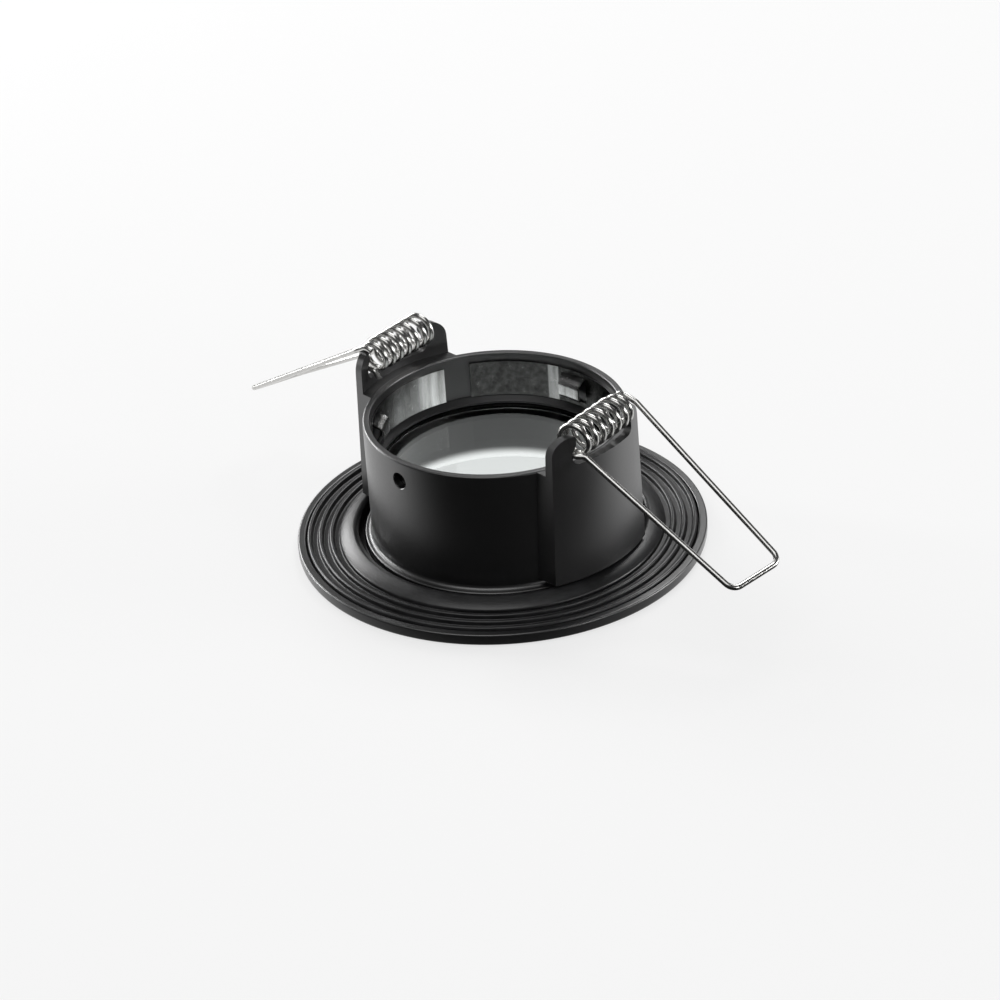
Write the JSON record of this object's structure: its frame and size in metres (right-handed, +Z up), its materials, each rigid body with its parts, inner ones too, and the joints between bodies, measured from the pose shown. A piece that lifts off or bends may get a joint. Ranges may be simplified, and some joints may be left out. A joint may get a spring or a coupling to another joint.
{
  "type": "soffit downlight",
  "caption": "Round recessed downlight: cast can with a ribbed rubber gasket on its trim, a glass lens, and wire spring clips on two ears that swing up for fitting.",
  "frame": {"origin": "centre of the trim's front face, which is the part's lowest plane", "axes": "+Z up into the ceiling void, away from the room; +X through the two ears, towards the right clip"},
  "size_m": [0.1376, 0.0868, 0.0401],
  "materials": {
    "black_body": "satin",
    "black_rubber": "matte",
    "satin_aluminium": "satin",
    "clear_glass": "gloss",
    "steel_strip": "satin",
    "spring_wire": "gloss"
  },
  "bodies": {
    "root": {"housing": "black_body", "ceiling_gasket": "black_rubber", "front_reflector": "satin_aluminium", "glass_lens": "clear_glass", "lens_seal": "black_rubber", "lamp_retainer": "steel_strip", "right_spring": "spring_wire", "left_spring": "spring_wire"},
    "right_clip": {"right_bail": "spring_wire"},
    "left_clip": {"left_bail": "spring_wire"}
  },
  "joints": [
    {"name": "right_clip_hinge", "type": "hinge", "parent": "root", "child": "right_clip", "pos_m": [0.0289, 0, 0.03635], "axis": [0.1219, -0.9925, 0], "range_deg": [-3, 121], "stiffness_Nm_per_rad": 0.15, "springref_deg": -2.86},
    {"name": "left_clip_hinge", "type": "hinge", "parent": "root", "child": "left_clip", "pos_m": [-0.0289, 0, 0.03635], "axis": [-0.1219, 0.9925, 0], "range_deg": [-3, 121], "stiffness_Nm_per_rad": 0.15, "springref_deg": -2.86}
  ]
}
